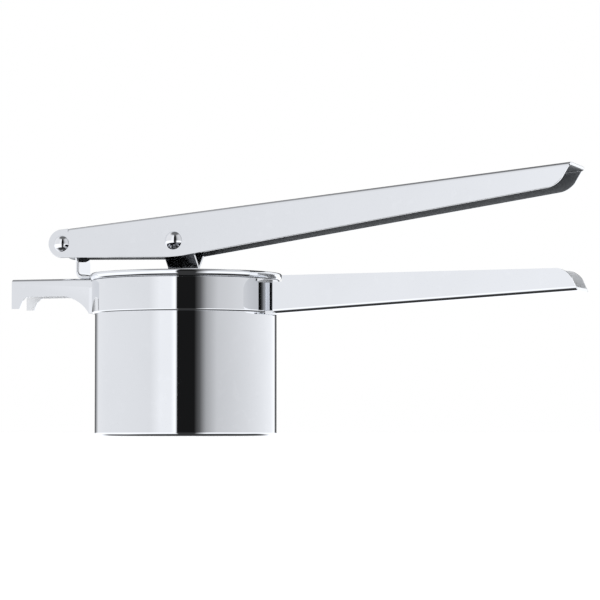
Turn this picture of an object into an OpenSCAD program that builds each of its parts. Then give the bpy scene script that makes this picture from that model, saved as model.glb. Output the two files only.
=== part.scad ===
// Potato ricer: a perforated cup hangs in a frame ring, and a hinged lever pushes a plate into it.
// Origin at the middle of the cup's base, +Z up, the handles run towards +X.

/* [Cup] */
// Outer radius of the cup
cup_r = 43.8; // [38:0.2:56]
// Height of the cup, base to rim top
cup_h = 78.2; // [64:0.2:96]
// Sheet thickness of the cup
cup_wall = 1; // [0.8:0.1:1.4]
// Outer radius of the bend between wall and base
cup_bend = 1.7; // [1.5:0.1:4]
// How far the rim stands out past the cup wall
rim_out = 2.6; // [2:0.1:3.5]
// Height of the rolled rim
rim_h = 3.4; // [2.6:0.1:5]
// Radius of one press hole
hole_r = 1.5; // [1:0.1:2]
// Distance between neighbouring press holes
hole_pitch = 7; // [5:0.1:10]
// Plain margin of the base outside the press holes
hole_margin = 5; // [4:0.5:8]

/* [Frame ring] */
// Sheet thickness of the ring
ring_t = 1.4; // [1:0.1:2]
// Height of the ring
ring_h = 16.1; // [12:0.1:22]
// Gap between cup and ring
ring_gap = 0.2; // [0.1:0.05:0.5]
// Gap left round the rim where the handle and hook pass it
rim_gap = 0.2; // [0.1:0.05:0.5]

/* [Lower handle] */
// Width of the handle channel
handle_w = 25; // [20:0.5:32]
// Reach of the handle past the ring
handle_reach = 150; // [110:0.5:190]
// Sheet thickness of the handle
handle_t = 1.5; // [1:0.1:2]
// Height of the handle's top edge above the ring's top edge
handle_step = 1.3; // [0:0.1:2.4]
// Depth of the channel at the ring
handle_root = 18.2; // [14:0.1:20]
// Depth of the channel at the tip
handle_tip = 10.3; // [8:0.1:13]
// Rise of the top edge over the reach
handle_rise = 1; // [0:0.1:3]
// Angle of the cut end above level
handle_rake = 66; // [55:1:75]
// Radius of the rounded top of the cut end
handle_nose = 8; // [5:0.5:9]
// Gap between the ring and the ends of the handle's walls
handle_gap = 3.4; // [2:0.1:5]
// Angle that the tabs at the walls' ends are folded in by
tab_lean = 60; // [45:1:70]
// Length of the notch that keeps the walls clear of the rim
notch_len = 4.2; // [3:0.1:6]
// Depth of that notch
notch_drop = 3; // [2:0.1:4]

/* [Pot hook] */
// Width of the hook channel
hook_w = 19.6; // [16:0.2:26]
// Reach of the hook past the ring
hook_reach = 42; // [34:0.1:52]
// Sheet thickness of the hook
hook_t = 1.5; // [1:0.1:2]
// Height of the hook's top face above the ring's top edge
hook_step = 1.6; // [0:0.1:2.4]
// Depth of the hook's arm
hook_arm = 8.5; // [7:0.1:11]
// Depth of the prongs, from the hook's top face
prong_h = 14.3; // [12:0.1:18]
// Width of a prong at its foot
prong_w = 4; // [3:0.1:6]
// Radius under the arm where it meets the ring
hook_sweep = 16.5; // [12:0.5:20]
// How much wider a prong is at its top than at its foot
prong_lean = 2.6; // [1:0.1:4]
// Radius between prong and arm
notch_r = 4; // [2:0.5:5]
// Gap between the ring and the lower ends of the hook's walls
hook_gap = 1.4; // [1:0.1:3]
// Angle that the tabs at those ends are folded in by
hook_tab_lean = 22; // [15:1:45]
// Height of the wall above those tabs
hook_ledge = 4.4; // [3:0.1:5]

/* [Hinge strap] */
// Width of the strap
strap_w = 15.4; // [12:0.2:18]
// Sheet thickness of the strap
strap_t = 1.6; // [1.2:0.1:2]
// Inner radius of the strap's foot bend
strap_bend = 2; // [1.5:0.1:3]
// Outer radius of the strap's rolled eye
eye_out = 6.3; // [5.8:0.1:6.4]
// Height of the lever pivot above the rim
pivot_rise = 15.4; // [13:0.1:20]
// Distance of the lever pivot behind the rim
pivot_back = 14.9; // [13:0.1:18]
// Distance of the strap's leg in front of the pivot
strap_leg = 7.6; // [6:0.1:9]
// Height of the leg's straight part above the hook
strap_leg_h = 8.2; // [6:0.1:10]
// How far round the pivot the eye is rolled, in degrees
eye_wrap = 310; // [280:10:320]

/* [Lever] */
// Length of the lever, pivot to tip
lever_len = 256.5; // [200:0.5:320]
// Width of the lever channel at the tip
lever_w = 30; // [22:0.5:38]
// Sheet thickness of the lever
lever_t = 1.5; // [1:0.1:2]
// Height of the top face above the pivot, and radius of the rounded end
lever_end_r = 6.9; // [6.5:0.1:9]
// Depth of the channel at its belly, under the plunger rivet
lever_belly = 20.5; // [18:0.1:25]
// Depth of the channel at the tip
lever_tip = 9.9; // [8:0.1:13]
// Angle of the lever above level at rest
lever_tilt = 5.65; // [4:0.01:10]
// Angle of the cut end below the top face
lever_rake = 54.2; // [45:0.1:65]
// Radius of the rounded heel under the tip
lever_heel = 10; // [4:0.5:12]
// Radius of the belly's lowest point
belly_r = 60; // [30:5:90]

/* [Rivets] */
// Shank radius of the two long rivets
rivet_r = 3; // [2.4:0.1:3.6]
// Head radius of the pivot rivet
pivot_head_r = 4; // [3.8:0.1:5]
// Head radius of the plunger rivet
plunger_head_r = 4.4; // [3.8:0.1:5.4]
// Height of both domed heads
head_h = 2.8; // [2:0.1:3.4]
// Running clearance of each pivot, on the radius
run_gap = 0.06; // [0.02:0.01:0.1]
// Running clearance at the side of each pivot
side_gap = 0.15; // [0.1:0.05:0.4]

/* [Plunger] */
// Where the plunger rivet stands at rest, from the cup's axis
plunger_x = -2.6; // [-6:0.2:2]
// Height of the plunger rivet above the lever pivot at rest
plunger_z = 0.3; // [-2:0.1:2]
// How far the arms stand in front of the rivet
arm_shift = 1.6; // [0:0.1:2.4]
// Width of the arms
arm_w = 15.4; // [12:0.2:18]
// Sheet thickness of the arms
arm_t = 1.6; // [1.2:0.1:2]
// Inner radius of the arms' bends
arm_bend = 1; // [0.8:0.1:1.5]
// Height of the crotch, where the arms meet, below the rivet
crotch_drop = 12.3; // [10:0.1:15]
// Length of the feet on the press plate
foot_len = 12; // [8:0.5:16]
// Gap between press plate and cup wall
plate_gap = 5; // [4:0.1:7]
// Thickness of the press plate
plate_t = 2.4; // [1.6:0.1:3]
// Height of the press plate above the cup's base at rest
plate_lift = 9.6; // [8.5:0.1:14]
// Shank radius of the small rivets
small_r = 2; // [1.5:0.1:2.4]
// Head radius of the small rivets
small_head_r = 3.1; // [2.8:0.1:3.6]
// Height of the small rivets' heads
small_head_h = 1.3; // [0.8:0.1:1.8]
// Distance from the press plate up to the lower stem rivet
stem_rivet_low = 16; // [10:0.5:20]
// Distance from the crotch down to the upper stem rivet
stem_rivet_high = 8; // [5:0.5:12]

/* [Hidden] */
$fn = 96;
steel = "silver";
dark_steel = "lightslategray";

rim_r = cup_r + rim_out;
cup_in = cup_r - cup_wall;
ring_in = cup_r + ring_gap;
ring_out = ring_in + ring_t;
ring_top = cup_h - rim_h;
ring_bottom = ring_top - ring_h;
fold_in = 0.4;         // inside radius of a folded channel corner
far = 500;             // longer than anything in the model
lap = 0.5;             // how deep one shape runs into another that it joins
past = 6;              // how far a channel is drawn inside the ring before it is trimmed
weld_low = 0.6;        // height of the hook's lower edge above the ring's

hook_top = ring_top + hook_step;
handle_top = ring_top + handle_step;

pivot = [-(rim_r + pivot_back), cup_h + pivot_rise];
eye_in = eye_out - strap_t;
splay = atan((lever_w / 2 - lever_t - side_gap - strap_w / 2) / (lever_len + eye_out));

plunger = [plunger_x, pivot[1] + plunger_z];
plunger_local = [(plunger - pivot) * [cos(lever_tilt), sin(lever_tilt)],
    (plunger - pivot) * [-sin(lever_tilt), cos(lever_tilt)]];
arm_x = plunger_x + arm_shift;
ear_out = lever_half(plunger_local[0] - arm_w / 2 - arm_shift) - lever_t / cos(splay) - side_gap;
plate_r = cup_in - plate_gap;
plate_top = cup_wall + plate_lift + plate_t;
crotch_z = plunger[1] - crotch_drop;
stem_rivet_z = [plate_top + stem_rivet_low, crotch_z - stem_rivet_high];
foot_rivet_y = foot_len - small_head_r;

// Half the lever's outer width at a distance from its pivot: it is narrowest round the strap's eye
function lever_half(x) = strap_w / 2 + side_gap + lever_t / cos(splay) + (x + eye_out) * tan(splay);

// Plane geometry for outlines
function unit(v) = v / norm(v);
function perp(v) = [-v[1], v[0]];
function angle_of(v) = atan2(v[1], v[0]);
// Points of a corner at b rounded to radius r
function corner(a, b, c, r, n = 8) =
    let (u = unit(a - b), v = unit(c - b), half = acos(u * v) / 2)
    let (mid = b + unit(u + v) * r / sin(half), reach = r / tan(half))
    let (from = angle_of(b + u * reach - mid), to = angle_of(b + v * reach - mid))
    let (turn = (to - from + 540) % 360 - 180)
    [for (i = [0:n]) mid + r * [cos(from + turn * i / n), sin(from + turn * i / n)]];
// Closed outline with a radius at each point, 0 for a sharp one
function rounded(p, r) = [for (i = [0:len(p) - 1])
    each r[i] == 0 ? [p[i]] : corner(p[(i + len(p) - 1) % len(p)], p[i], p[(i + 1) % len(p)], r[i])];
// Open line with every inner corner rounded to r
function bent_line(p, r) = [for (i = [0:len(p) - 1])
    each i == 0 || i == len(p) - 1 ? [p[i]] : corner(p[i - 1], p[i], p[i + 1], r)];
function beside(p, i, d) = let (n = len(p) - 1)
    let (a = perp(unit(p[min(i + 1, n)] - p[min(i, n - 1)])), b = perp(unit(p[max(i, 1)] - p[max(i - 1, 0)])))
    let (m = unit(a + b)) p[i] + m * d / (m * a);
// Outline of a sheet of thickness t that follows a line
function sheet(p, t) = concat([for (i = [0:len(p) - 1]) beside(p, i, t / 2)],
    [for (i = [len(p) - 1:-1:0]) beside(p, i, -t / 2)]);

// An X-Z outline given a width along Y, centred
module across(w) { rotate([90, 0, 0]) linear_extrude(w, center = true) children(); }

// Folded channel section in Y-Z, its web's outer face at z = 0, walls going down
module channel_section(w, t, depth) {
    difference() {
        polygon(rounded([[-w / 2, -depth], [-w / 2, 0], [w / 2, 0], [w / 2, -depth]],
            [0, fold_in + t, fold_in + t, 0]));
        polygon(rounded([[t - w / 2, -far], [t - w / 2, -t], [w / 2 - t, -t], [w / 2 - t, -far]],
            [0, fold_in, fold_in, 0]));
    }
}
module channel(w, t, depth, from, to) {
    translate([from, 0, 0]) rotate([90, 0, 90]) linear_extrude(to - from) channel_section(w, t, depth);
}

// A pair of tabs folded in from walls at y = w / 2, from x on, drawn until they are inside the ring
module tabs(x, w, t, lean, z_low, z_high) {
    y = w / 2 - t / 2;
    line = [[x + past, y], [x, y], [x - 2 * past * cos(lean), y - 2 * past * sin(lean)]];
    for (s = [0, 1]) mirror([0, s, 0])
        translate([0, 0, z_low]) linear_extrude(z_high - z_low) polygon(sheet(line, t));
}

module clear_of_ring() {
    difference() {
        children();
        translate([0, 0, -1]) cylinder(h = cup_h + 1, r = ring_out);
        translate([0, 0, ring_top - rim_gap]) cylinder(h = far, r = rim_r + rim_gap);
    }
}

module strainer_cup() {
    reach = cup_in - hole_margin;
    rows = ceil(reach / hole_pitch);
    rim_edge = min(0.4 * rim_h, 0.45 * rim_out);
    color(steel) difference() {
        rotate_extrude() {
            difference() {
                union() {
                    translate([0, cup_bend]) square([cup_r, cup_h - cup_bend]);
                    square([cup_r - cup_bend, 2 * cup_bend]);
                    translate([cup_r - cup_bend, cup_bend]) circle(cup_bend);
                    translate([cup_r - lap, ring_top]) square([lap + rim_out - rim_edge, rim_h]);
                    translate([cup_r, ring_top + rim_edge]) square([rim_out, rim_h - 2 * rim_edge]);
                    for (z = [ring_top + rim_edge, cup_h - rim_edge])
                        translate([rim_r - rim_edge, z]) circle(rim_edge);
                }
                translate([0, cup_bend]) square([cup_in, cup_h]);
                translate([0, cup_wall]) square([cup_r - cup_bend, cup_h]);
                translate([cup_r - cup_bend, cup_bend]) circle(cup_bend - cup_wall);
            }
        }
        for (i = [-rows:rows], j = [-rows:rows]) {
            spot = hole_pitch * [i + j / 2, j * sqrt(3) / 2];
            if (norm(spot) <= reach)
                translate([spot[0], spot[1], -1]) cylinder(h = cup_wall + 2, r = hole_r, $fn = 24);
        }
    }
}

module frame_ring() {
    edge = ring_t * 0.45;
    color(steel) rotate_extrude() union() {
        translate([ring_in, ring_bottom + edge]) square([ring_t, ring_h - edge]);
        translate([ring_in, ring_bottom]) square([ring_t - edge, ring_h]);
        translate([ring_out - edge, ring_bottom + edge]) circle(edge);
    }
}

module lower_handle() {
    tip_x = ring_out + handle_reach;
    wall_x = ring_out + handle_gap;
    notch_x = wall_x + notch_len;
    notch_z = handle_top - notch_drop;
    root_z = handle_top - handle_root;
    tip_z = handle_top + handle_rise - handle_tip;
    slope = atan((tip_z - root_z) / handle_reach);
    inset = handle_tip / tan(handle_rake);
    inner_x = ring_in - past;
    web_w = handle_w - 2 * (handle_t + fold_in);
    color(steel) clear_of_ring() {
        intersection() {
            union() {
                translate([ring_out, 0, root_z]) rotate([0, -slope, 0]) mirror([0, 0, 1]) {
                    channel(handle_w, handle_t, 2 * handle_root, handle_gap, handle_reach * 1.1);
                    translate([-ring_out / 2, -web_w / 2, -handle_t]) cube([ring_out, web_w, handle_t]);
                }
                tabs(wall_x, handle_w, handle_t, tab_lean, root_z, handle_top);
            }
            across(4 * handle_w) polygon(rounded([[inner_x, root_z - (ring_out - inner_x) * tan(slope)],
                [tip_x, tip_z], [tip_x - inset, handle_top + handle_rise], [notch_x, handle_top],
                [notch_x, notch_z], [inner_x, notch_z]], [0, 0, handle_nose, 0, 0, 0]));
        }
    }
}

module pot_hook() {
    tip_x = -(ring_out + hook_reach);
    wall_x = -(ring_out + hook_gap);
    arm_z = hook_top - hook_arm;
    foot_z = hook_top - prong_h;
    ledge_z = hook_top - hook_ledge;
    wall_z = ring_bottom + weld_low;
    inner_x = past - ring_in;
    run = sqrt(pow(hook_sweep, 2) - pow(hook_sweep - (arm_z - wall_z), 2));
    bend_x = wall_x - run;
    mid_z = arm_z - hook_sweep;
    full = acos((hook_sweep - (arm_z - wall_z)) / hook_sweep);
    sweep = [for (i = [0:8]) [bend_x, mid_z] + hook_sweep * [sin(full * i / 8), cos(full * i / 8)]];
    prong = [[tip_x, foot_z], [tip_x, hook_top], [inner_x, hook_top], [inner_x, wall_z]];
    inside = [[tip_x + prong_w + prong_lean, arm_z], [tip_x + prong_w, foot_z]];
    notch = corner([bend_x, arm_z], inside[0], inside[1], notch_r);
    color(steel) clear_of_ring() {
        intersection() {
            union() {
                difference() {
                    translate([0, 0, hook_top]) channel(hook_w, hook_t, 2 * prong_h, tip_x - lap, inner_x);
                    translate([wall_x, -hook_w, ledge_z - far]) cube([far, 2 * hook_w, far]);
                }
                mirror([1, 0, 0]) tabs(-wall_x, hook_w, hook_t, hook_tab_lean, wall_z, ledge_z + lap);
            }
            across(4 * hook_w) polygon(concat([prong[0]], corner(prong[0], prong[1], prong[2], hook_t),
                [prong[2], prong[3]], [for (i = [8:-1:0]) sweep[i]], notch, [inside[1]]));
        }
    }
}

module hinge_strap() {
    mid_r = eye_out - strap_t / 2;
    foot_z = hook_top + strap_t / 2;
    foot_end = -(rim_r + 2 * rim_gap);
    knee = [pivot[0] + strap_leg, hook_top + strap_leg_h];
    start = angle_of(knee - pivot) + acos(mid_r / norm(knee - pivot));   // where the leg runs into the eye
    leg = bent_line([[foot_end, foot_z], [knee[0], foot_z], knee, pivot + mid_r * [cos(start), sin(start)]],
        strap_bend + strap_t / 2);
    eye = [for (a = [start + 10:10:eye_wrap]) pivot + mid_r * [cos(a), sin(a)]];
    color(steel) difference() {
        across(strap_w) polygon(sheet(concat(leg, eye), strap_t));
        rod(pivot, eye_in, 2 * strap_w);
    }
}

// The lever is drawn along X with its pivot at the origin; this turns it to its rest place
module at_lever() { translate([pivot[0], 0, pivot[1]]) rotate([0, -lever_tilt, 0]) children(); }

// A rod along Y, centred at an X-Z point
module rod(p, r, length) {
    translate([p[0], 0, p[1]]) rotate([90, 0, 0]) cylinder(h = length, r = r, center = true);
}

module upper_lever() {
    belly = [plunger_local[0], lever_end_r - lever_belly];
    tip = [lever_len, lever_end_r];
    rise = (lever_belly - lever_tip) / (lever_len - belly[0]);
    heel = tip - lever_tip / (sin(lever_rake) - rise * cos(lever_rake)) * [cos(lever_rake), sin(lever_rake)];
    back = atan(-belly[1] / belly[0]) - asin(lever_end_r / norm(belly));
    round_end = [for (i = [11:-1:1]) let (a = 90 + (180 - back) * i / 12) lever_end_r * [cos(a), sin(a)]];
    under = -lever_end_r * [sin(back), cos(back)];
    web_start = sqrt(pow(eye_out + lap, 2) - pow(lever_end_r - lever_t, 2));
    color(steel) at_lever() difference() {
        intersection() {
            union() for (s = [0, 1]) mirror([0, s, 0]) lever_side(web_start);
            across(2 * lever_w) polygon(concat(round_end,
                rounded([[0, lever_end_r], tip, heel, belly, under], [0, lap, lever_heel, belly_r, 0])));
        }
        rod([0, 0], rivet_r, 2 * lever_w);
        rod(plunger_local, rivet_r, 2 * lever_w);
    }
}

// The +Y side of the lever's channel, splayed, with its web from web_start on
module lever_side(web_start) {
    half_w = lever_half(0) * cos(splay);
    intersection() {
        rotate([0, 0, splay]) difference() {
            translate([0, 0, lever_end_r])
                channel(2 * half_w, lever_t, 2 * lever_belly, -3 * lever_end_r, lever_len + 2 * lever_end_r);
            translate([web_start - 6 * lever_end_r, lever_t - half_w, -2 * lever_end_r])
                cube([6 * lever_end_r, 2 * (half_w - lever_t), 4 * lever_end_r]);
        }
        translate([-far, -lap, -far]) cube(2 * far);
    }
}

// A long rivet across the lever with a domed head on the outside of each wall
module lever_rivet(p, head_r) {
    at_lever() {
        rod(p, rivet_r, 2 * lever_half(p[0]) + head_h);
        for (s = [0, 1]) mirror([0, s, 0]) translate([p[0], lever_half(p[0]), p[1]])
            rotate([0, 0, splay]) rotate([-90, 0, 0]) dome(head_r, head_h);
    }
}

module dome(r, h) {
    ball_r = (r * r + h * h) / (2 * h);
    rotate_extrude() intersection() {
        translate([0, h - ball_r]) circle(ball_r);
        square([r, h]);
    }
}

module pivot_rivet() { color(steel) lever_rivet([0, 0], pivot_head_r); }
module plunger_rivet() { color(steel) lever_rivet(plunger_local, plunger_head_r); }
module pivot_tube() {
    color(dark_steel) difference() {
        rod(pivot, eye_in - run_gap, strap_w + 2 * side_gap);
        rod(pivot, rivet_r, 2 * strap_w);
    }
}

// One bent arm, on the +Y side: foot on the plate, stem, leg of the crotch, ear on the rivet
module plunger_arm() {
    stem_y = arm_t / 2;
    ear_y = ear_out - stem_y;
    foot_z = plate_top + stem_y;
    line = [[foot_len, foot_z], [stem_y, foot_z], [stem_y, crotch_z],
        [ear_y, crotch_z + ear_y - stem_y], [ear_y, plunger[1] + arm_w / 2]];
    color(steel) difference() {
        intersection() {
            translate([arm_x - arm_w / 2, 0, 0]) rotate([90, 0, 90])
                linear_extrude(arm_w) polygon(sheet(bent_line(line, arm_bend + arm_t / 2), arm_t));
            across(4 * ear_out) union() {
                translate([arm_x, plunger[1]]) circle(arm_w / 2);
                translate([arm_x - arm_w / 2, 0]) square([arm_w, plunger[1]]);
            }
        }
        rod(plunger, rivet_r + run_gap, 4 * ear_out);
        for (z = stem_rivet_z) rod([arm_x, z], small_r, 4 * ear_out);
        foot_spots() translate([0, 0, cup_wall]) cylinder(h = plate_top + foot_len, r = small_r);
    }
}
module plunger_arm_far() { plunger_arm(); }
module plunger_arm_near() { mirror([0, 1, 0]) plunger_arm(); }

module foot_spots() {
    for (x = [-1, 1], y = [-1, 1]) translate([arm_x + x * arm_w / 4, y * foot_rivet_y, 0]) children();
}

module stem_rivets() {
    color(steel) for (z = stem_rivet_z) {
        rod([arm_x, z], small_r, 2 * arm_t);
        for (s = [-90, 90]) translate([arm_x, 0, z]) rotate([s, 0, 0]) translate([0, 0, arm_t])
            dome(small_head_r, small_head_h);
    }
}

module press_plate() {
    edge = plate_t * 0.3;
    color(steel) translate([0, 0, plate_top - plate_t]) difference() {
        rotate_extrude() {
            square([plate_r - edge, plate_t]);
            translate([0, edge]) square([plate_r, plate_t - 2 * edge]);
            for (z = [edge, plate_t - edge]) translate([plate_r - edge, z]) circle(edge);
        }
        foot_spots() translate([0, 0, -1]) cylinder(h = plate_t + 2, r = small_r);
    }
}

module foot_rivets() {
    color(steel) foot_spots() {
        translate([0, 0, plate_top - plate_t]) cylinder(h = plate_t + arm_t, r = small_r);
        translate([0, 0, plate_top + arm_t]) dome(small_head_r, small_head_h);
    }
}

strainer_cup();
frame_ring();
lower_handle();
pot_hook();
hinge_strap();
upper_lever();
pivot_rivet();
pivot_tube();
plunger_rivet();
plunger_arm_near();
plunger_arm_far();
stem_rivets();
press_plate();
foot_rivets();
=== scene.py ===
import bpy
import bmesh
import math
from mathutils import Matrix, Vector


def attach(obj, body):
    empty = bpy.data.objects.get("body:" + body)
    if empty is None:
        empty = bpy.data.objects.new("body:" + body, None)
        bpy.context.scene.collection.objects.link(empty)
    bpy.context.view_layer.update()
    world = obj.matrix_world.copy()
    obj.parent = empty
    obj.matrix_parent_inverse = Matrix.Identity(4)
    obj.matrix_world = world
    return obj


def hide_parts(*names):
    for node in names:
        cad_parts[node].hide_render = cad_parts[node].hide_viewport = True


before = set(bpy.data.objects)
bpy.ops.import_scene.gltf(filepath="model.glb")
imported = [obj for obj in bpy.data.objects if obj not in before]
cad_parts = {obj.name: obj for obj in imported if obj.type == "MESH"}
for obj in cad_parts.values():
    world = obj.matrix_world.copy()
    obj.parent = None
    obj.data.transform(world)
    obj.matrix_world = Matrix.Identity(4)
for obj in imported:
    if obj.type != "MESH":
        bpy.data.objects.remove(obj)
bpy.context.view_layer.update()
print("frame loaded:", len(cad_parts), "nodes")


# ---- node trees ----

class Wire:
    # a socket that can be used in a Python expression
    def __init__(self, graph, socket):
        self.graph = graph
        self.socket = socket

    def maths(self, kind, *others):
        return self.graph.add("ShaderNodeMath", {"operation": kind}, self, *others)

    def other(self, index):
        return Wire(self.graph, self.socket.node.outputs[index])

    def __add__(self, other):
        return self.maths("ADD", other)

    def __sub__(self, other):
        return self.maths("SUBTRACT", other)

    def __mul__(self, other):
        return self.maths("MULTIPLY", other)

    def __truediv__(self, other):
        return self.maths("DIVIDE", other)

    def __rsub__(self, other):
        return self.graph.add("ShaderNodeMath", {"operation": "SUBTRACT"}, other, self)

    __radd__ = __add__
    __rmul__ = __mul__


mixSocket = {"first": 6, "second": 7, "result": 2}   # where a Mix node keeps its colours


class Graph:
    # builds the nodes of one tree
    def __init__(self, tree):
        self.tree = tree
        tree.nodes.clear()

    def add(self, kind, settings=None, *values, out=0, **named):
        node = self.tree.nodes.new(kind)
        for name, value in (settings or {}).items():
            if name == "stops":
                ramp = node.color_ramp
                while len(ramp.elements) < len(value):
                    ramp.elements.new(0.5)
                for element, (place, level) in zip(ramp.elements, value):
                    element.position = place
                    element.color = (level, level, level, 1)
            else:
                setattr(node, name, value)
        for key, value in list(enumerate(values)) + list(named.items()):
            socket = node.inputs[key if isinstance(key, int) else key.replace("_", " ")]
            if isinstance(value, Wire):
                self.tree.links.new(value.socket, socket)
            elif value is not None:
                socket.default_value = value
        return Wire(self, node.outputs[out]) if len(node.outputs) else node

    def ramp(self, wire, *stops):
        return self.add("ShaderNodeValToRGB", {"stops": stops}, wire)

    def smoothStep(self, wire, span):
        # 0 below the span, 1 above it
        return self.add("ShaderNodeMapRange", {"interpolation_type": "SMOOTHSTEP"}, wire, *span, 0.0, 1.0)

    def mixColour(self, factor, first, second, blend="MIX"):
        mixed = self.add("ShaderNodeMix", {"data_type": "RGBA", "blend_type": blend}, factor)
        node = mixed.socket.node
        for name, value in (("first", first), ("second", second)):
            socket = node.inputs[mixSocket[name]]
            if isinstance(value, Wire):
                self.tree.links.new(value.socket, socket)
            else:
                socket.default_value = (*value, 1)
        return Wire(self, node.outputs[mixSocket["result"]])


# ---- camera, studio and floor ----

view = {
    "place": (0.4737, -1.2673, 0.0019),   # metres
    "turn": 18.16,                        # degrees to the left of straight ahead
    "tip": 2.70,                          # degrees above level
    "lens": 168.0,
    "sensor": 36.0,
    "near": 0.01,
}

# What the polished sheet sees round it. Every list runs round the compass in degrees: 0 is straight
# ahead of the cup on the camera's side and the angles grow towards the handles.
studio = {
    "walls": [
        (-180, 0.07), (-140, 0.15), (-125, 0.9),             # dark behind, then the bright left wall
        (-25, 0.85), (-12, 1.0), (2, 1.0), (8, 1.25),        # brighter towards the column
        (9.6, 0.01), (31, 0.01),                             # the dark column
        (38, 0.12), (46, 0.43), (60, 0.67), (100, 0.8),      # its soft side
        (155, 1.0), (173, 1.15), (176, 0.4), (180, 0.07),    # the right wall
    ],
    "column": [(-180, 0), (7.5, 0), (9.4, 1), (32.4, 1), (48, 0), (180, 0)],   # where it hides the paper
    "rear": [(-180, 1), (-115, 1), (-79, 0.2), (-18, 0), (22, 0), (108, 0.6), (130, 1)],
    "rearLift": 0.30,              # the dark below reaches this much higher at the rear
    "ceiling": 0.16,
    "ceilingFrom": (0.78, 0.96),   # sine of the height where the walls start to fade into the ceiling
    "glow": 1.2,                   # the sweep of paper just below the horizon
    "glowFrom": (-0.06, -0.01),
    "dark": 0.04,                  # straight below
    "darkFrom": (-0.84, -0.62),
    "tint": (0.975, 0.99, 1.02),
}

floorSize = {"radius": 3.0, "sides": 96, "drop": 0.0002, "shade": 0.9, "rough": 0.9, "lift": 0.6}


def buildCamera():
    camera = bpy.data.objects.new("camera", bpy.data.cameras.new("camera"))
    camera.data.lens = view["lens"]
    camera.data.sensor_width = view["sensor"]
    camera.data.clip_start = view["near"]
    camera.location = view["place"]
    camera.rotation_euler = (math.radians(90 + view["tip"]), 0, math.radians(view["turn"]))
    bpy.context.scene.collection.objects.link(camera)
    bpy.context.scene.camera = camera
    bpy.context.scene.view_settings.view_transform = "Standard"


def grey(name):
    return (studio[name],) * 3


def buildStudio():
    world = bpy.data.worlds.new("studio")
    world.use_nodes = True
    bpy.context.scene.world = world
    graph = Graph(world.node_tree)
    x = graph.add("ShaderNodeSeparateXYZ", None, graph.add("ShaderNodeTexCoord"))
    y, z = x.other(1), x.other(2)
    compass = x.maths("ARCTAN2", y * -1) / (2 * math.pi) + 0.5
    walls, column, rear = (
        graph.ramp(compass, *[(angle / 360 + 0.5, level) for angle, level in studio[name]])
        for name in ("walls", "column", "rear"))
    paper = graph.mixColour(column, grey("glow"), grey("dark"))
    sky = graph.mixColour(graph.smoothStep(z, studio["glowFrom"]), paper, walls)
    height = z - rear * studio["rearLift"]
    sky = graph.mixColour(graph.smoothStep(height, studio["darkFrom"]), grey("dark"), sky)
    sky = graph.mixColour(graph.smoothStep(z, studio["ceilingFrom"]), sky, grey("ceiling"))
    sky = graph.mixColour(1.0, sky, studio["tint"], "MULTIPLY")
    seen = graph.add("ShaderNodeBackground", None, sky, 1.0)
    plain = graph.add("ShaderNodeBackground", None, (1, 1, 1, 1), 1.0)
    mixed = graph.add("ShaderNodeMixShader", None, graph.add("ShaderNodeLightPath"), seen, plain)
    graph.add("ShaderNodeOutputWorld", None, mixed)


def buildFloor():
    bm = bmesh.new()
    bmesh.ops.create_circle(bm, cap_ends=True, radius=floorSize["radius"], segments=floorSize["sides"])
    bmesh.ops.translate(bm, vec=(0, 0, -floorSize["drop"]), verts=bm.verts)
    mesh = bpy.data.meshes.new("floor")
    bm.to_mesh(mesh)
    bm.free()
    floor = bpy.data.objects.new("floor", mesh)
    bpy.context.scene.collection.objects.link(floor)
    floor.visible_glossy = False
    material = bpy.data.materials.new("palePaper")
    material.use_nodes = True
    graph = Graph(material.node_tree)
    shade = floorSize["shade"]
    shader = graph.add("ShaderNodeBsdfPrincipled", None, Base_Color=(shade, shade, shade, 1),
                       Roughness=floorSize["rough"], Emission_Color=(1, 1, 1, 1),
                       Emission_Strength=floorSize["lift"])
    graph.add("ShaderNodeOutputMaterial", None, shader)
    floor.data.materials.append(material)


buildCamera()
buildStudio()
buildFloor()
print("studio ready")


# ---- finishes ----

steel = {"lineDetail": 3.0, "lineRough": 0.6, "lineDepth": 0.00002, "cloudDetail": 2.0, "spotScale": 9,
         "spotDetail": 1.0, "smudge": (0.42, 0.70), "wear": (0.60, 0.72), "wornShare": 0.5}


def steelFinish(name, look):
    # polished sheet: faint polishing lines, smudges that dull the shine, brighter worn patches
    material = bpy.data.materials.new(name)
    material.use_nodes = True
    graph = Graph(material.node_tree)
    place = graph.add("ShaderNodeTexCoord", out=3)
    stretched = graph.add("ShaderNodeMapping", None, place, None, None, look["grain"])
    lines = graph.add("ShaderNodeTexNoise", None, stretched, Scale=1.0, Detail=steel["lineDetail"],
                      Roughness=steel["lineRough"])
    cloud = graph.add("ShaderNodeTexNoise", None, place, Scale=look["cloud"], Detail=steel["cloudDetail"])
    spots = graph.add("ShaderNodeTexNoise", None, place, Scale=look["cloud"] * steel["spotScale"],
                      Detail=steel["spotDetail"])
    smudge, wear = (graph.ramp(noise, (steel[key][0], 0.0), (steel[key][1], 1.0))
                    for noise, key in ((cloud, "smudge"), (spots, "wear")))
    shade = graph.mixColour(smudge, look["shade"], look["dull"])
    shade = graph.mixColour(wear * steel["wornShare"], shade, look["worn"])
    rough = look["rough"] + smudge * look["haze"] + lines * look["lineHaze"] + wear * look["haze"]
    bump = graph.add("ShaderNodeBump", None, look["relief"], steel["lineDepth"], Height=lines)
    shader = graph.add("ShaderNodeBsdfPrincipled", None, Base_Color=shade, Roughness=rough, Metallic=1.0,
                       Normal=bump)
    graph.add("ShaderNodeOutputMaterial", None, shader)
    return material


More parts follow.
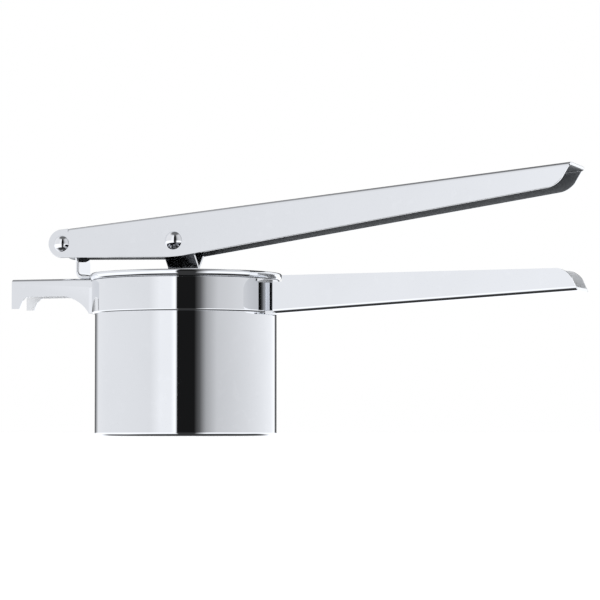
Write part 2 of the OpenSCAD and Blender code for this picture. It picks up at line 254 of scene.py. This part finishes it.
finishes = {
    "polished": {"shade": (0.855, 0.865, 0.885), "dull": (0.835, 0.845, 0.865), "worn": (0.87, 0.88, 0.90),
                 "rough": 0.018, "haze": 0.015, "lineHaze": 0.01,
                 "grain": (900, 900, 60), "cloud": 24, "relief": 0.004},
    "rivet": {"shade": (0.88, 0.885, 0.90), "dull": (0.84, 0.845, 0.86), "worn": (0.9, 0.905, 0.92),
              "rough": 0.03, "haze": 0.03, "lineHaze": 0.02,
              "grain": (500, 500, 500), "cloud": 120, "relief": 0.004},
    # the plunger's base colour is set darker than the frame's steel: painted shade for the dark reflections
    # on its arms
    "plunger": {"shade": (0.72, 0.73, 0.75), "dull": (0.66, 0.67, 0.69), "worn": (0.76, 0.77, 0.79),
                "rough": 0.03, "haze": 0.03, "lineHaze": 0.02,
                "grain": (900, 900, 50), "cloud": 40, "relief": 0.01},
    # the pale inside copy: the inside finish made pale as painted light for the handle and hook insides that
    # catch the light
    "litInside": {"shade": (0.93, 0.935, 0.94), "dull": (0.87, 0.875, 0.88), "worn": (0.95, 0.955, 0.96),
                   "rough": 0.3, "haze": 0.08, "lineHaze": 0.08,
                   "grain": (60, 900, 900), "cloud": 40, "relief": 0.01},
    # the dark inside copy: the inside finish made dark as painted shade for the lever's enclosed inside
    "shadedInside": {"shade": (0.33, 0.34, 0.35), "dull": (0.28, 0.29, 0.30), "worn": (0.38, 0.39, 0.40),
                   "rough": 0.32, "haze": 0.08, "lineHaze": 0.08,
                   "grain": (60, 900, 900), "cloud": 40, "relief": 0.01},
    "turned": {"shade": (0.66, 0.67, 0.69), "dull": (0.56, 0.57, 0.59), "worn": (0.74, 0.75, 0.77),
               "rough": 0.22, "haze": 0.1, "lineHaze": 0.15,
               "grain": (120, 2600, 120), "cloud": 90, "relief": 0.05},
}
polishedSteel = steelFinish("polishedSteel", finishes["polished"])
rivetSteel = steelFinish("rivetSteel", finishes["rivet"])
# the plunger's steel carries painted shade in its darker base colour
shadedPlungerSteel = steelFinish("shadedPlungerSteel", finishes["plunger"])
turnedSteel = steelFinish("turnedSteel", finishes["turned"])
# pale copy of the inside finish: painted light
litInside = steelFinish("litInside", finishes["litInside"])
# dark copy of the inside finish: painted shade
shadedInside = steelFinish("shadedInside", finishes["shadedInside"])
print("finishes ready")


# ---- mesh helpers: everything is drawn in millimetres and made metres at the end ----

millimetre = 0.001
finishDetail = {"join": 0.0005, "match": 0.0001, "edgeSteps": 2, "edgeAngle": 40}


def edgesOf(geom):
    return [e for e in geom if isinstance(e, bmesh.types.BMEdge)]


def vertsOf(geom):
    return [v for v in geom if isinstance(v, bmesh.types.BMVert)]


def roundedFace(bm, points, radii, segments=10):
    # a flat face, its corners rounded each by its own radius; returns the sharp corners by index
    corners = [bm.verts.new(p) for p in points]
    bm.faces.new(corners)
    spots = [Vector(p) for p in points]
    for index, radius in radii.items():
        before, here, after = spots[index - 1], spots[index], spots[(index + 1) % len(spots)]
        half = (before - here).angle(after - here) / 2
        bmesh.ops.bevel(bm, geom=[corners[index]], offset=radius / math.tan(half), affect="VERTICES",
                        segments=segments, profile=0.5, material=-1)
    return {i: v for i, v in enumerate(corners) if i not in radii}


def edgeBetween(a, b):
    return next(e for e in a.link_edges if e.other_vert(a) is b)


def pull(bm, edges, way, steps=1):
    # extrudes a row of edges along a vector
    for _ in range(steps):
        fresh = bmesh.ops.extrude_edge_only(bm, edges=edges)["geom"]
        bmesh.ops.translate(bm, vec=Vector(way) / steps, verts=vertsOf(fresh))
        edges = edgesOf(fresh)
    return edges


def turn(bm, geom, centre, axis, degrees, steps):
    turned = bmesh.ops.spin(bm, geom=geom, cent=centre, axis=axis, dvec=(0, 0, 0),
                            angle=math.radians(degrees), steps=steps, use_merge=False, use_duplicate=False)
    return edgesOf(turned["geom_last"])


def slide(verts, way, point, normal):
    # moves each vertex along one direction until it lies on a plane
    way, point, normal = Vector(way), Vector(point), Vector(normal)
    for v in verts:
        v.co += way * ((point - v.co).dot(normal) / way.dot(normal))


def mirrorAcross(bm):
    bmesh.ops.mirror(bm, geom=bm.verts[:] + bm.edges[:] + bm.faces[:], matrix=Matrix.Identity(4),
                     merge_dist=finishDetail["join"], axis="Y")


def spunProfile(bm, points, radii, steps=144, segments=6):
    # a closed profile in X-Z, its corners rounded, turned once round the Z axis
    roundedFace(bm, points, radii, segments)
    bmesh.ops.delete(bm, geom=bm.faces[:], context="FACES_ONLY")
    bmesh.ops.spin(bm, geom=bm.verts[:] + bm.edges[:], cent=(0, 0, 0), axis=(0, 0, 1), dvec=(0, 0, 0),
                   angle=2 * math.pi, steps=steps, use_merge=True, use_duplicate=False)


def shank(bm, radius, length, matrix, fine=48):
    bmesh.ops.create_cone(bm, cap_ends=True, segments=fine, radius1=radius, radius2=radius, depth=length,
                          matrix=matrix)


def crossEdge(v, width, faces):
    # the edge that runs straight across a band from a point of its first side
    return next(e for e in v.link_edges if len(e.link_faces) == faces
                and abs(e.calc_length() - width) < finishDetail["match"])


def strip(bm, points, bends, width, segments=8):
    # a band that follows a line of points, with its folds rounded; width is a vector; returns its last edge
    half = Vector(width) / 2
    row = [bm.verts.new(Vector(p) - half) for p in points]
    edges = [bm.edges.new(pair) for pair in zip(row, row[1:])]
    far = vertsOf(bmesh.ops.extrude_edge_only(bm, edges=edges)["geom"])
    bmesh.ops.translate(bm, vec=Vector(width), verts=far)
    spots = [Vector(p) for p in points]
    ends = (row[0], row[-1])
    folds = [crossEdge(v, 2 * half.length, 1 if v in ends else 2) for v in row]
    for index, radius in bends.items():
        before, after = spots[index - 1] - spots[index], spots[index + 1] - spots[index]
        bmesh.ops.bevel(bm, geom=[folds[index]], offset=radius / math.tan(before.angle(after) / 2),
                        affect="EDGES", segments=segments, profile=0.5, material=-1)
    return folds[-1]


def finished(name, bm, node, body, material, sheet=0.0, side=-1.0, edge=0.2, inside=None, flip=False):
    # merges, points the faces outwards, and turns the bmesh into a piece that stands for a CAD node
    bmesh.ops.remove_doubles(bm, verts=bm.verts, dist=finishDetail["join"])
    bmesh.ops.recalc_face_normals(bm, faces=bm.faces)
    if flip:
        bmesh.ops.reverse_faces(bm, faces=bm.faces)
    bmesh.ops.scale(bm, vec=(millimetre,) * 3, verts=bm.verts)
    for face in bm.faces:
        face.smooth = True
    mesh = bpy.data.meshes.new(name)
    bm.to_mesh(mesh)
    bm.free()
    mesh.materials.append(material)
    if inside:
        mesh.materials.append(inside)
    piece = bpy.data.objects.new(name, mesh)
    bpy.context.scene.collection.objects.link(piece)
    if sheet:
        wall = piece.modifiers.new("wall", "SOLIDIFY")
        wall.thickness = sheet * millimetre
        wall.offset = side
        wall.use_even_offset = True
        wall.material_offset = 1 if inside else 0
    if edge:
        ease = piece.modifiers.new("ease", "BEVEL")
        ease.width = edge * millimetre
        ease.segments = finishDetail["edgeSteps"]
        ease.limit_method = "ANGLE"
        ease.angle_limit = math.radians(finishDetail["edgeAngle"])
        ease.harden_normals = True
    piece.modifiers.new("shade", "WEIGHTED_NORMAL").keep_sharp = True
    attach(piece, body)
    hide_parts(node)
    return piece


# ---- cup and ring ----

cup = {"radius": 43.8, "height": 78.2, "wall": 1.0, "bend": 1.7, "rimOut": 2.6, "rimHeight": 3.4,
       "rimLow": 2.2, "rimHigh": 1.0, "lip": 0.5, "floorBend": 0.7, "holeRadius": 1.5, "holePitch": 7.0,
       "holeMargin": 5.0, "holeSides": 20, "punch": 6.0, "steps": 180}
ring = {"inner": 44.0, "sheet": 1.4, "bottom": 58.7, "top": 74.8, "lowEdge": 1.0, "topEdge": 0.35,
        "steps": 180}


def buildCup():
    inside = cup["radius"] - cup["wall"]
    rim = cup["radius"] + cup["rimOut"]
    under = cup["height"] - cup["rimHeight"]
    bm = bmesh.new()
    spunProfile(bm, [(0, 0, 0), (cup["radius"], 0, 0), (cup["radius"], 0, under), (rim, 0, under),
                     (rim, 0, cup["height"]), (inside, 0, cup["height"]), (inside, 0, cup["wall"]),
                     (0, 0, cup["wall"])],
                {1: cup["bend"], 3: cup["rimLow"], 4: cup["rimHigh"], 5: cup["lip"], 6: cup["floorBend"]},
                cup["steps"])
    piece = finished("strainerCup", bm, "strainer_cup", "frame", polishedSteel, edge=0)
    punches = bmesh.new()
    reach = inside - cup["holeMargin"]
    rows = math.ceil(reach / cup["holePitch"])
    for i in range(-rows, rows + 1):
        for j in range(-rows, rows + 1):
            x, y = cup["holePitch"] * (i + j / 2), cup["holePitch"] * j * math.sqrt(3) / 2
            if math.hypot(x, y) <= reach:
                shank(punches, cup["holeRadius"], cup["punch"], Matrix.Translation((x, y, 0)),
                      cup["holeSides"])
    bmesh.ops.scale(punches, vec=(millimetre,) * 3, verts=punches.verts)
    mesh = bpy.data.meshes.new("punches")
    punches.to_mesh(mesh)
    punches.free()
    tool = bpy.data.objects.new("punches", mesh)
    bpy.context.scene.collection.objects.link(tool)
    piece.modifiers.remove(piece.modifiers["shade"])
    punched = piece.modifiers.new("punched", "BOOLEAN")
    punched.object = tool
    punched.solver = "EXACT"
    bpy.context.view_layer.update()
    solid = piece.evaluated_get(bpy.context.evaluated_depsgraph_get())
    done = bpy.data.meshes.new_from_object(solid)
    piece.modifiers.remove(punched)
    old = piece.data
    piece.data = done
    bpy.data.meshes.remove(old)
    done.name = "strainerCup"
    bpy.data.objects.remove(tool)
    bpy.data.meshes.remove(mesh)
    piece.modifiers.new("shade", "WEIGHTED_NORMAL").keep_sharp = True
    done.set_sharp_from_angle(angle=math.radians(finishDetail["edgeAngle"]))


def buildRing():
    outer = ring["inner"] + ring["sheet"]
    bm = bmesh.new()
    spunProfile(bm, [(ring["inner"], 0, ring["bottom"]), (outer, 0, ring["bottom"]), (outer, 0, ring["top"]),
                     (ring["inner"], 0, ring["top"])],
                {1: ring["lowEdge"], 2: ring["topEdge"]}, ring["steps"])
    finished("frameRing", bm, "frame_ring", "frame", polishedSteel, edge=0)


buildCup()
buildRing()
print("cup and ring ready")


# ---- folded channels: lower handle, pot hook, lever ----

fold = {"outer": 1.9, "steps": 8, "webSteps": 8, "seam": 0.01, "hair": 0.001,
        "pick": 2.0,      # vertices this near an end belong to it
        "below": 0.5}     # the web's vertices lie this far under the fold


def flangeEdge(bm, top, low, bottomZ):
    # the upright end of a wall, carried down past the fold
    tail = bm.verts.new((low.co.x, low.co.y, bottomZ))
    return [edgeBetween(top, low), bm.edges.new((low, tail))]


def onRing(verts, radius, way, side):
    # ends of the web follow the ring
    for v in verts:
        gap = side * math.sqrt(radius ** 2 - v.co.y ** 2) - v.co.x
        v.co += Vector(way) * (gap / way[0])


def foldTab(bm, edges, corner, lean, radius, side):
    # folds the end of a wall inwards and stops it inside the ring
    way = Vector((-side * math.cos(math.radians(lean)), -math.sin(math.radians(lean)), 0))
    start = Vector((corner[0], corner[1], 0))
    across = -way.dot(start)
    return pull(bm, edges, way * (across - math.sqrt(across ** 2 - start.length_squared + radius ** 2)))


handle = {"width": 25.0, "sheet": 1.5, "reach": 150.0, "top": 76.1, "root": 18.2, "tip": 10.3,
          "rise": 1.0, "rake": 66.0, "nose": 8.0, "gap": 3.4, "tabLean": 60.0, "notch": 4.2,
          "notchDrop": 3.0, "sink": 1.15}


def buildHandle():
    outer = ring["inner"] + ring["sheet"]
    y = handle["width"] / 2
    wallX = outer + handle["gap"]
    cornerX = wallX - handle["sheet"] / 2 * math.tan(math.radians(handle["tabLean"] / 2))
    notchX, notchZ = wallX + handle["notch"], handle["top"] - handle["notchDrop"]
    tip = Vector((outer + handle["reach"], y, handle["top"] + handle["rise"] - handle["tip"]))
    root = Vector((outer, y, handle["top"] - handle["root"]))
    along = (tip - root).normalized()
    up = Vector((-along.z, 0, along.x))
    rake = math.radians(handle["rake"])
    cut = Vector((math.sin(rake), 0, math.cos(rake)))          # outward normal of the cut end
    start, end = root + up * fold["outer"], tip + up * fold["outer"]
    end += along * ((tip - end).dot(cut) / along.dot(cut))
    start += along * ((cornerX - start.x) / along.x)
    highEnd = tip + Vector((-math.cos(rake), 0, math.sin(rake))) * (handle["tip"] / math.sin(rake))
    bm = bmesh.new()
    sharp = roundedFace(bm, [start, end, highEnd, (notchX, y, handle["top"]), (notchX, y, notchZ),
                             (cornerX, y, notchZ)], {2: handle["nose"]})
    folded = edgeBetween(sharp[0], sharp[1])
    tab = flangeEdge(bm, sharp[5], sharp[0], root.z + handle["gap"] * along.z)
    foldTab(bm, tab, (cornerX, y), handle["tabLean"], outer - handle["sink"], 1)
    last = turn(bm, [folded], start - Vector((0, fold["outer"], 0)), along, -90, fold["steps"])
    last = pull(bm, last, (0, -fold["seam"], 0))
    pull(bm, last, (0, fold["outer"] + fold["seam"] - y, 0), fold["webSteps"])
    slide([v for v in bm.verts if v.co.x > end.x - fold["pick"] and v.co.y < y - fold["hair"]],
          along, tip, cut)
    onRing([v for v in bm.verts if v.co.x < wallX + fold["pick"]
            and v.co.y < y - fold["outer"] - fold["seam"] / 2
            and v.co.z < start.z - fold["below"] and len(v.link_faces) > 1], outer, along, 1)
    mirrorAcross(bm)
    # the handle's inside gets the pale copy of the inside finish: painted light
    finished("lowerHandle", bm, "lower_handle", "frame", polishedSteel,
             sheet=handle["sheet"], inside=litInside, flip=True)


hook = {"width": 19.6, "sheet": 1.5, "reach": 42.0, "top": 76.4, "arm": 8.5, "prong": 14.3, "foot": 4.0,
        "lean": 2.6, "notch": 4.0, "sweep": 16.5, "sweepShare": 0.98, "weldLow": 0.6, "gap": 1.4,
        "tabLean": 22.0, "ledge": 4.4, "clear": 0.2, "sink": 0.6}


def buildHook():
    outer = ring["inner"] + ring["sheet"]
    rim = cup["radius"] + cup["rimOut"] + hook["clear"]
    y = hook["width"] / 2
    wallX = -(outer + hook["gap"])
    cornerX = wallX + hook["sheet"] / 2 * math.tan(math.radians(hook["tabLean"] / 2))
    ringX = -math.sqrt(outer ** 2 - y ** 2)
    tipX = -(outer + hook["reach"])
    armZ, footZ = hook["top"] - hook["arm"], hook["top"] - hook["prong"]
    wallZ, ledgeZ = ring["bottom"] + hook["weldLow"], hook["top"] - hook["ledge"]
    foldZ = hook["top"] - fold["outer"]
    # the sweep under the arm is the arc between two tangents
    drop = hook["sweep"] - (armZ - wallZ)
    run = math.sqrt(hook["sweep"] ** 2 - drop ** 2)
    knee = wallX - run + hook["sweep"] * math.tan(math.atan2(run, drop) / 2)
    bm = bmesh.new()
    sharp = roundedFace(bm, [(tipX, y, foldZ), (tipX, y, footZ), (tipX + hook["foot"], y, footZ),
                             (tipX + hook["foot"] + hook["lean"], y, armZ), (knee, y, armZ),
                             (cornerX, y, wallZ), (cornerX, y, ledgeZ), (ringX, y, ledgeZ),
                             (ringX, y, foldZ)],
                        {3: hook["notch"], 4: hook["sweep"] * hook["sweepShare"]})
    foldTab(bm, [edgeBetween(sharp[5], sharp[6])], (cornerX, y), hook["tabLean"], outer - hook["sink"], -1)
    last = turn(bm, [edgeBetween(sharp[0], sharp[8])], (0, y - fold["outer"], foldZ), (1, 0, 0), 90,
                fold["steps"])
    pull(bm, last, (0, fold["outer"] - y, 0), fold["webSteps"])
    bent = [v for v in bm.verts if v.co.z > foldZ + fold["hair"]]
    onRing([v for v in bent if v.co.x > wallX], rim, (1, 0, 0), -1)
    mirrorAcross(bm)
    # the hook's inside gets the pale copy of the inside finish: painted light
    finished("potHook", bm, "pot_hook", "frame", polishedSteel, sheet=hook["sheet"],
             inside=litInside)


strap = {"width": 15.4, "sheet": 1.6, "bend": 2.0, "eye": 6.3, "leg": 7.6, "legHeight": 8.2, "wrap": 310.0,
         "footGap": 0.4, "eyeSteps": 46, "edge": 0.7}
lever = {"pivot": (-61.3, 0, 93.6), "tilt": 5.65, "length": 256.5, "width": 30.0, "sheet": 1.5,
         "endRadius": 6.9, "belly": 20.5, "bellyRadius": 60.0, "tip": 9.9, "rake": 54.2, "heel": 10.0,
         "sideGap": 0.15,
         "webGap": 0.5, "cornerSteps": 16}
plungerPlace = (-2.6, 0, 93.9)

leverPlace = Matrix.Translation(lever["pivot"]) @ Matrix.Rotation(-math.radians(lever["tilt"]), 4, "Y")
plungerLocal = leverPlace.inverted() @ Vector(plungerPlace)
insideStrap = strap["width"] / 2 + lever["sideGap"]
splay = math.atan((lever["width"] / 2 - lever["sheet"] - insideStrap) / (lever["length"] + strap["eye"]))


def leverHalf(x):
    # half the lever's width at a distance from its pivot; it is narrowest round the strap's eye
    return insideStrap + lever["sheet"] / math.cos(splay) + (x + strap["eye"]) * math.tan(splay)


def buildLever():
    y, top = leverHalf(0), lever["endRadius"]
    webStart = math.sqrt((strap["eye"] + lever["webGap"]) ** 2 - (top - lever["sheet"]) ** 2)
    foldZ = top - fold["outer"]
    rake = math.radians(lever["rake"])
    belly = Vector((plungerLocal.x, y, top - lever["belly"]))
    rise = (lever["belly"] - lever["tip"]) / (lever["length"] - belly.x)
    down = lever["tip"] / (math.sin(rake) - rise * math.cos(rake))
    tip = Vector((lever["length"], y, top))
    heel = tip - Vector((math.cos(rake), 0, math.sin(rake))) * down
    back = math.atan2(-belly.z, belly.x) - math.asin(top / math.hypot(belly.x, belly.z))
    low = belly.z + (belly.x + top) * math.tan(back)
    end = Vector((tip.x - fold["outer"] / math.tan(rake), y, foldZ))
    bm = bmesh.new()
    sharp = roundedFace(bm, [(-top, y, top), (-top, y, low), belly, heel, end, (webStart, y, foldZ),
                             (webStart, y, top)],
                        {0: top, 1: top, 2: lever["bellyRadius"], 3: lever["heel"]}, lever["cornerSteps"])
    last = turn(bm, [edgeBetween(sharp[4], sharp[5])], (0, y - fold["outer"], foldZ), (1, 0, 0), 90,
                fold["steps"])
    pull(bm, last, (0, fold["outer"] - y, 0))
    bent = [v for v in bm.verts if v.co.z > foldZ + fold["hair"]]
    slide([v for v in bent if v.co.x > end.x - fold["pick"]], (1, 0, 0), tip,
          (math.sin(rake), 0, -math.cos(rake)))
    for v in bm.verts:
        if v.co.y > fold["hair"]:
            v.co.y += v.co.x * math.tan(splay)
    mirrorAcross(bm)
    bmesh.ops.transform(bm, matrix=leverPlace, verts=bm.verts)
    # the lever's inside gets the dark copy of the inside finish: painted shade
    finished("upperLever", bm, "upper_lever", "lever", polishedSteel, sheet=lever["sheet"],
             inside=shadedInside)


buildHandle()
buildHook()
buildLever()
print("handle, hook and lever ready")


# ---- hinge strap ----

def buildStrap():
    middle = strap["eye"] - strap["sheet"] / 2
    px, _, pz = lever["pivot"]
    footZ = hook["top"] + strap["sheet"] / 2
    footX = -(cup["radius"] + cup["rimOut"] + strap["footGap"])
    kneeX, kneeZ = px + strap["leg"], hook["top"] + strap["legHeight"]
    reach = math.hypot(kneeX - px, kneeZ - pz)
    start = math.atan2(kneeZ - pz, kneeX - px) + math.acos(middle / reach)   # where the leg runs into the eye
    bend = strap["bend"] + strap["sheet"] / 2
    bm = bmesh.new()
    head = strip(bm, [(footX, 0, footZ), (kneeX, 0, footZ), (kneeX, 0, kneeZ),
                      (px + middle * math.cos(start), 0, pz + middle * math.sin(start))],
                 {1: bend, 2: bend}, (0, strap["width"], 0))
    turn(bm, [head], (px, 0, pz), (0, -1, 0), strap["wrap"] - math.degrees(start), strap["eyeSteps"])
    finished("hingeStrap", bm, "hinge_strap", "frame", polishedSteel,
             sheet=strap["sheet"], side=0.0, edge=strap["edge"])


buildStrap()
print("strap ready")


# ---- rivets and pivot tube ----

longRivet = {"shank": 3.0, "headHeight": 2.8, "pivotHead": 4.0, "plungerHead": 4.4}
tube = {"radius": 4.64, "edge": 0.3, "steps": 64, "edgeSteps": 3}


def dome(bm, radius, height, matrix, fine=48):
    # a domed head that stands on the plane z = 0 before it is placed
    ball = (radius ** 2 + height ** 2) / (2 * height)
    part = bmesh.new()
    bmesh.ops.create_uvsphere(part, u_segments=fine, v_segments=fine, radius=ball)
    bmesh.ops.translate(part, vec=(0, 0, height - ball), verts=part.verts)
    bmesh.ops.bisect_plane(part, geom=part.verts[:] + part.edges[:] + part.faces[:], plane_co=(0, 0, 0),
                           plane_no=(0, 0, 1), clear_inner=True)
    bmesh.ops.holes_fill(part, edges=part.edges, sides=0)
    bmesh.ops.transform(part, matrix=matrix, verts=part.verts)
    mesh = bpy.data.meshes.new("head")
    part.to_mesh(mesh)
    part.free()
    bm.from_mesh(mesh)
    bpy.data.meshes.remove(mesh)


def facing(place, side, distance):
    # Z of the part points along Y, to one side
    return (Matrix.Translation(Vector(place) + Vector((0, side * distance, 0)))
            @ Matrix.Rotation(-side * math.pi / 2, 4, "X"))


def buildLongRivet(name, node, place, head):
    bm = bmesh.new()
    half = leverHalf(place.x)
    shank(bm, longRivet["shank"], 2 * half, facing(place, 1, 0))
    for side in (-1, 1):
        dome(bm, head, longRivet["headHeight"], Matrix.Translation((place.x, side * half, place.z))
             @ Matrix.Rotation(side * splay, 4, "Z") @ Matrix.Rotation(-side * math.pi / 2, 4, "X"))
    bmesh.ops.transform(bm, matrix=leverPlace, verts=bm.verts)
    finished(name, bm, node, "lever", rivetSteel, edge=0)


def buildTube():
    bm = bmesh.new()
    inner, outer = longRivet["shank"], tube["radius"]
    spunProfile(bm, [(inner, 0, -insideStrap), (outer, 0, -insideStrap), (outer, 0, insideStrap),
                     (inner, 0, insideStrap)], {i: tube["edge"] for i in range(4)},
                tube["steps"], tube["edgeSteps"])
    bmesh.ops.transform(bm, matrix=facing(lever["pivot"], 1, 0), verts=bm.verts)
    finished("pivotTube", bm, "pivot_tube", "lever", turnedSteel, edge=0)


buildLongRivet("pivotRivet", "pivot_rivet", Vector((0, 0, 0)), longRivet["pivotHead"])
buildLongRivet("plungerRivet", "plunger_rivet", plungerLocal, longRivet["plungerHead"])
buildTube()
print("rivets and tube ready")


# ---- plunger ----

arm = {"width": 15.4, "sheet": 1.6, "bend": 1.0, "shift": 1.6, "crotch": 81.6, "foot": 12.0,
       "earSteps": 12, "earFlat": 0.01}
plate = {"radius": 37.8, "sheet": 2.4, "top": 13.0, "edge": 0.7, "steps": 128}
smallRivet = {"shank": 2.0, "head": 3.1, "headHeight": 1.3, "low": 16.0, "high": 8.0, "fine": 32}

armX = plungerPlace[0] + arm["shift"]
narrowest = leverHalf(plungerLocal.x - arm["width"] / 2 - arm["shift"])      # of the lever beside the ears
earOut = narrowest - lever["sheet"] / math.cos(splay) - lever["sideGap"]


def buildArm(name, node, side):
    x, z = armX, plungerPlace[2]
    stem = arm["sheet"] / 2
    ear = earOut - stem
    footZ = plate["top"] + stem
    bend = arm["bend"] + stem
    high = z + arm["width"] / 2
    bm = bmesh.new()
    head = strip(bm, [(x, arm["foot"], footZ), (x, stem, footZ), (x, stem, arm["crotch"]),
                      (x, ear, arm["crotch"] + ear - stem), (x, ear, high)],
                 {1: bend, 2: bend, 3: bend}, (arm["width"], 0, 0))
    for corner in list(head.verts):
        bmesh.ops.bevel(bm, geom=[corner], offset=arm["width"] / 2 - arm["earFlat"], affect="VERTICES",
                        segments=arm["earSteps"], profile=0.5, material=-1)
    bmesh.ops.scale(bm, vec=(1, side, 1), verts=bm.verts)
    finished(name, bm, node, "plunger", shadedPlungerSteel, sheet=arm["sheet"], side=0.0)


def footSpots():
    reach = arm["foot"] - smallRivet["head"]
    return [(armX + sx * arm["width"] / 4, sy * reach) for sx in (-1, 1) for sy in (-1, 1)]


def buildPlate():
    bm = bmesh.new()
    low = plate["top"] - plate["sheet"]
    spunProfile(bm, [(0, 0, low), (plate["radius"], 0, low), (plate["radius"], 0, plate["top"]),
                     (0, 0, plate["top"])], {1: plate["edge"], 2: plate["edge"]}, plate["steps"])
    finished("pressPlate", bm, "press_plate", "plunger", shadedPlungerSteel, edge=0)


def buildSmallRivets():
    radius, height, fine = smallRivet["head"], smallRivet["headHeight"], smallRivet["fine"]
    bm = bmesh.new()
    for z in (plate["top"] + smallRivet["low"], arm["crotch"] - smallRivet["high"]):
        place = (armX, 0, z)
        shank(bm, smallRivet["shank"], 2 * arm["sheet"], facing(place, 1, 0), fine)
        for side in (-1, 1):
            dome(bm, radius, height, facing(place, side, arm["sheet"]), fine)
    finished("stemRivets", bm, "stem_rivets", "plunger", rivetSteel, edge=0)
    bm = bmesh.new()
    low, high = plate["top"] - plate["sheet"], plate["top"] + arm["sheet"]
    for x, y in footSpots():
        shank(bm, smallRivet["shank"], high - low, Matrix.Translation((x, y, (low + high) / 2)), fine)
        dome(bm, radius, height, Matrix.Translation((x, y, high)), fine)
    finished("footRivets", bm, "foot_rivets", "plunger", rivetSteel, edge=0)


buildArm("plungerArmNear", "plunger_arm_near", -1)
buildArm("plungerArmFar", "plunger_arm_far", 1)
buildPlate()
buildSmallRivets()
print("plunger ready")
